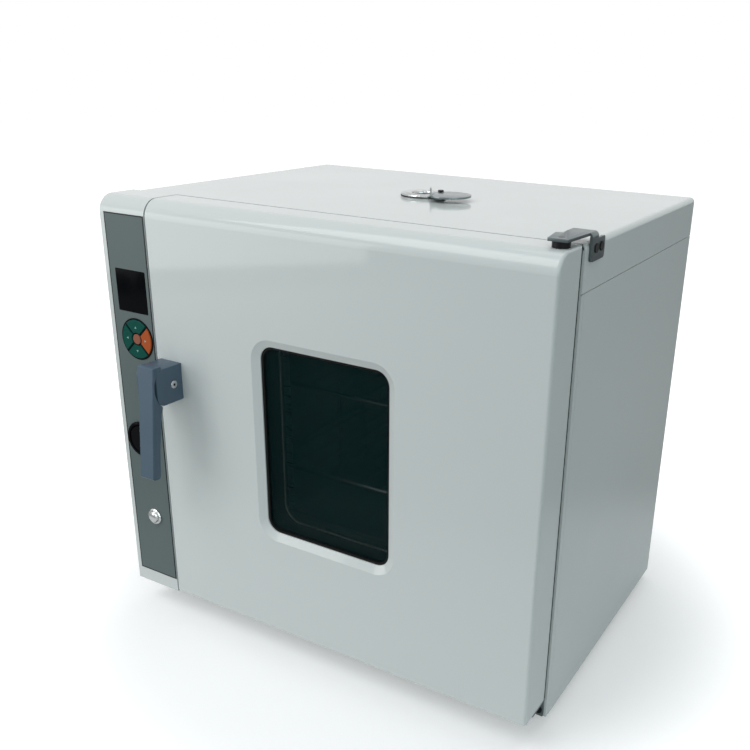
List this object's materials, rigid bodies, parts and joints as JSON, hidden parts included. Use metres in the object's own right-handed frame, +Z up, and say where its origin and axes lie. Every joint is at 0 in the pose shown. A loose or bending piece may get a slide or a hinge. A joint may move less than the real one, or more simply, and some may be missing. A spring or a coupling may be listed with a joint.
{
  "type": "laboratory drying oven",
  "caption": "Bench-top electric drying oven: sheet-steel cabinet, hinged glazed door with lever latch, control column with keys, fan-stirred chamber with shelves and a swivelling top vent.",
  "frame": {"origin": "middle of the bounding box on the bench, under the four feet", "axes": "+Z up, the door faces -Y, the door hinge is on the +X side"},
  "size_m": [0.5093, 0.4358, 0.4923],
  "materials": {
    "casing_paint": "light grey powder coat, satin",
    "stainless": "brushed stainless sheet",
    "fixings": "bright screws and pins",
    "hinge_plate": "grey plated steel",
    "overlay": "grey printed membrane",
    "display": "black gloss window",
    "key_teal": "teal moulded keys",
    "key_orange": "orange moulded key",
    "key_red": "salmon moulded key",
    "black_plastic": "black moulded plastic",
    "handle": "blue-grey moulded plastic",
    "chrome": "bright chrome",
    "glass": "dark toughened glass",
    "seal": "black rubber",
    "silicone": "silicone door seal",
    "foot_rubber": "black rubber",
    "wool": "mineral wool",
    "board": "circuit board",
    "motor": "grey motor shell",
    "vent_metal": "plated steel"
  },
  "bodies": {
    "cabinet": {"base_tray": "casing_paint", "button_bezel": "chrome", "casing_screws": "fixings", "chamber_liner": "stainless", "control_fascia": "casing_paint", "control_overlay": "overlay", "controller_board": "board", "display_board": "board", "display_window": "display", "door_gasket": "silicone", "fan_motor": "motor", "feet": "foot_rubber", "front_frame": "casing_paint", "fuse_holder": "black_plastic", "heater_element": "stainless", "hinge_pins": "fixings", "hinge_screws": "fixings", "insulation_jacket": "wool", "keypad_bezel": "black_plastic", "lower_hinge_bracket": "hinge_plate", "motor_mount": "stainless", "power_inlet": "black_plastic", "rack_posts": "stainless", "rear_baffle": "stainless", "rear_panel": "casing_paint", "shelf_rails": "stainless", "side_panel_left": "casing_paint", "side_panel_right": "casing_paint", "striker": "fixings", "switch_housing": "black_plastic", "temperature_probe": "stainless", "top_cover": "casing_paint", "upper_hinge_bracket": "hinge_plate", "vent_pivot": "fixings", "vent_ring": "vent_metal", "vent_tube": "stainless"},
    "door": {"door_skin": "casing_paint", "door_liner": "stainless", "door_insulation": "wool", "outer_glass": "glass", "inner_glass": "glass", "window_gasket": "seal", "window_tunnel": "stainless", "door_hinge_blocks": "fixings", "handle_base": "handle", "handle_pivot": "fixings"},
    "lever": {"handle_lever": "handle", "latch_hook": "fixings"},
    "vent_cover": {"vent_disc": "vent_metal"},
    "fan": {"fan_impeller": "stainless", "fan_shaft": "fixings"},
    "upper_shelf": {"shelf_upper": "stainless"},
    "lower_shelf": {"shelf_lower": "stainless"},
    "up_key": {"key_up": "key_teal"},
    "left_key": {"key_left": "key_teal"},
    "down_key": {"key_down": "key_teal"},
    "right_key": {"key_right": "key_orange"},
    "centre_key": {"key_centre": "key_red"},
    "rocker": {"power_rocker": "black_plastic"},
    "button": {"push_button": "chrome"}
  },
  "joints": [
    {"name": "door_hinge", "type": "hinge", "parent": "cabinet", "child": "door", "pos_m": [0.2385, -0.144, 0.25], "axis": [0, 0, 1], "range_deg": [0, 120]},
    {"name": "lever_pivot", "type": "hinge", "parent": "door", "child": "lever", "pos_m": [-0.173, -0.1792, 0.2981], "axis": [-1, 0, 0], "range_deg": [0, 25]},
    {"name": "vent_swivel", "type": "hinge", "parent": "cabinet", "child": "vent_cover", "pos_m": [0.0319, 0.0308, 0.48], "axis": [0, 0, 1], "range_deg": [-145, 20]},
    {"name": "fan_spin", "type": "hinge", "parent": "cabinet", "child": "fan", "pos_m": [0.025, 0.1512, 0.252], "axis": [0, -1, 0], "continuous": true},
    {"name": "upper_shelf_slide", "type": "slide", "parent": "cabinet", "child": "upper_shelf", "axis": [0, -1, 0], "range_m": [0, 0.02]},
    {"name": "lower_shelf_slide", "type": "slide", "parent": "cabinet", "child": "lower_shelf", "axis": [0, -1, 0], "range_m": [0, 0.02]},
    {"name": "up_key_press", "type": "slide", "parent": "cabinet", "child": "up_key", "axis": [0, 1, 0], "range_m": [0, 0.0006], "stiffness_N_per_m": 900},
    {"name": "left_key_press", "type": "slide", "parent": "cabinet", "child": "left_key", "axis": [0, 1, 0], "range_m": [0, 0.0006], "stiffness_N_per_m": 900},
    {"name": "down_key_press", "type": "slide", "parent": "cabinet", "child": "down_key", "axis": [0, 1, 0], "range_m": [0, 0.0006], "stiffness_N_per_m": 900},
    {"name": "right_key_press", "type": "slide", "parent": "cabinet", "child": "right_key", "axis": [0, 1, 0], "range_m": [0, 0.0006], "stiffness_N_per_m": 900},
    {"name": "centre_key_press", "type": "slide", "parent": "cabinet", "child": "centre_key", "axis": [0, 1, 0], "range_m": [0, 0.0006], "stiffness_N_per_m": 900},
    {"name": "power_rocker_tilt", "type": "hinge", "parent": "cabinet", "child": "rocker", "pos_m": [-0.227, -0.163, 0.217], "axis": [1, 0, 0], "range_deg": [-7, 7]},
    {"name": "button_press", "type": "slide", "parent": "cabinet", "child": "button", "axis": [0, 1, 0], "range_m": [0, 0.0018], "stiffness_N_per_m": 600}
  ]
}
